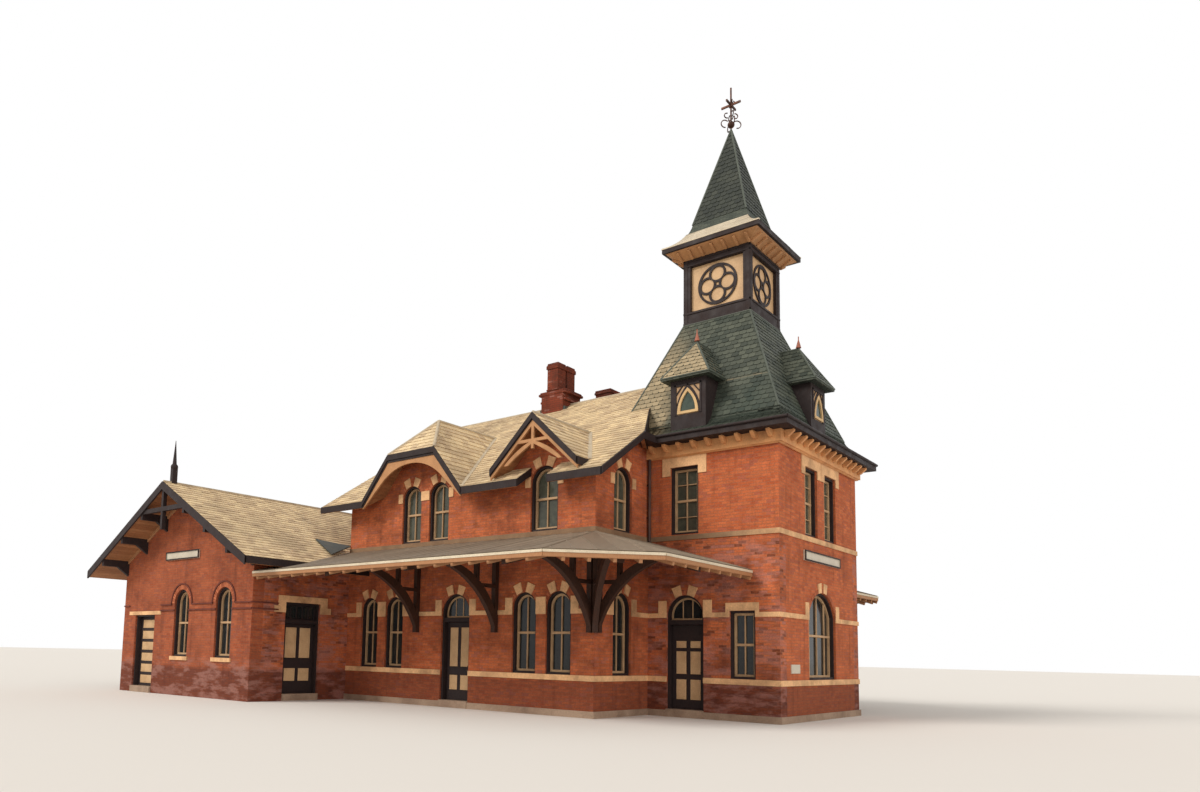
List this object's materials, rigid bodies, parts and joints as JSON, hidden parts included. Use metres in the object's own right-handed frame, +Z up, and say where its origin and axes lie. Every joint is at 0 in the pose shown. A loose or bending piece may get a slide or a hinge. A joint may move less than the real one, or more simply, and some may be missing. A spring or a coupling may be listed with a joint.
{
  "type": "railway station building",
  "caption": "Two-storey brick railway station with a square spired tower, a low cross wing, slate roofs and a canopy along each long side; its outside doors swing open.",
  "frame": {"origin": "on the ground under the middle of the main block, level with the bottom of the ground floor", "axes": "+X along the building from the main block towards the tower's front, -Y towards the track side with the opening doors, +Z up"},
  "size_m": [22.16, 19.7, 18.85],
  "materials": {
    "brick": null,
    "canopy": "light sheet-metal roofing",
    "door": "dark painted timber with light panels",
    "floor": "boarded floors",
    "frame_dark": "nearly black paint on timber",
    "glass": "old window glass",
    "iron": "black iron",
    "panel": "cream painted timber",
    "sash_tan": "tan paint on timber",
    "sign": "bare light signboard",
    "slate": null,
    "slate_green": "green-grey fish-scale slates",
    "stone": "cream stone, dressed, matte",
    "timber": "brown painted timber",
    "trim_dark": "dark painted boards",
    "trim_tan": "tan painted boards"
  },
  "bodies": {
    "building": {"main_track_wall_lower": "brick", "main_track_wall_upper": "brick", "main_far_wall": "brick", "shoulder_walls": "brick", "main_end_wall": "brick", "tower_track_wall": "brick", "tower_far_wall": "brick", "tower_front_wall": "brick", "wing_track_gable": "brick", "wing_far_gable": "brick", "wing_side_wall": "brick", "wing_far_side_wall": "brick", "wing_back_wall": "brick", "walls_over_doors": "brick", "ground_floor": "floor", "upper_floor": "floor", "door_sills": "stone", "stone_plinth": "stone", "stone_courses": "stone", "stone_dressings": "stone", "window_frames_lower": "frame_dark", "window_frames_upper": "frame_dark", "window_sashes_lower": "sash_tan", "window_sashes_upper": "sash_tan", "window_glass_lower": "glass", "window_glass_upper": "glass", "door_frames": "frame_dark", "fanlight_glass": "glass", "far_door_frames": "frame_dark", "far_side_doors": "door", "chimneys": "brick", "main_roof": "slate", "wall_gable_roofs": "slate", "dormer_roofs": "slate", "wing_roof": "slate", "bargeboards": "trim_tan", "gable_work": "trim_tan", "wing_bargeboards": "trim_dark", "wing_finials": "trim_dark", "canopy_roofs": "canopy", "canopy_brackets": "timber", "tower_cornice": "trim_tan", "tower_eave": "trim_tan", "tower_mansard": "slate_green", "mansard_dormers": "panel", "mansard_dormer_roofs": "slate_green", "mansard_dormer_windows": "sash_tan", "cupola_frame": "trim_dark", "cupola_panels": "panel", "cupola_tracery": "trim_dark", "spire_soffit": "trim_tan", "spire_eave": "trim_dark", "spire": "slate_green", "spire_finial": "iron", "signboards": "sign", "downpipes": "iron"},
    "hall_door": {"hall_door": "door"},
    "tower_door": {"tower_door": "door"},
    "wing_side_door": {"wing_side_door": "door"},
    "wing_gable_door": {"wing_gable_door": "door"}
  },
  "joints": [
    {"name": "hall_door_hinge", "type": "hinge", "parent": "building", "child": "hall_door", "pos_m": [-0.476, -5.11, 1.3], "axis": [0, 0, 1], "range_deg": [0, 90]},
    {"name": "tower_door_hinge", "type": "hinge", "parent": "building", "child": "tower_door", "pos_m": [5.354, -2.555, 1.3], "axis": [0, 0, 1], "range_deg": [0, 90]},
    {"name": "wing_side_door_hinge", "type": "hinge", "parent": "building", "child": "wing_side_door", "pos_m": [-4.975, -7.681, 1.3], "axis": [0, 0, 1], "range_deg": [0, 90]},
    {"name": "wing_gable_door_hinge", "type": "hinge", "parent": "building", "child": "wing_gable_door", "pos_m": [-11.516, -8.64, 1.3], "axis": [0, 0, 1], "range_deg": [0, 90]}
  ]
}
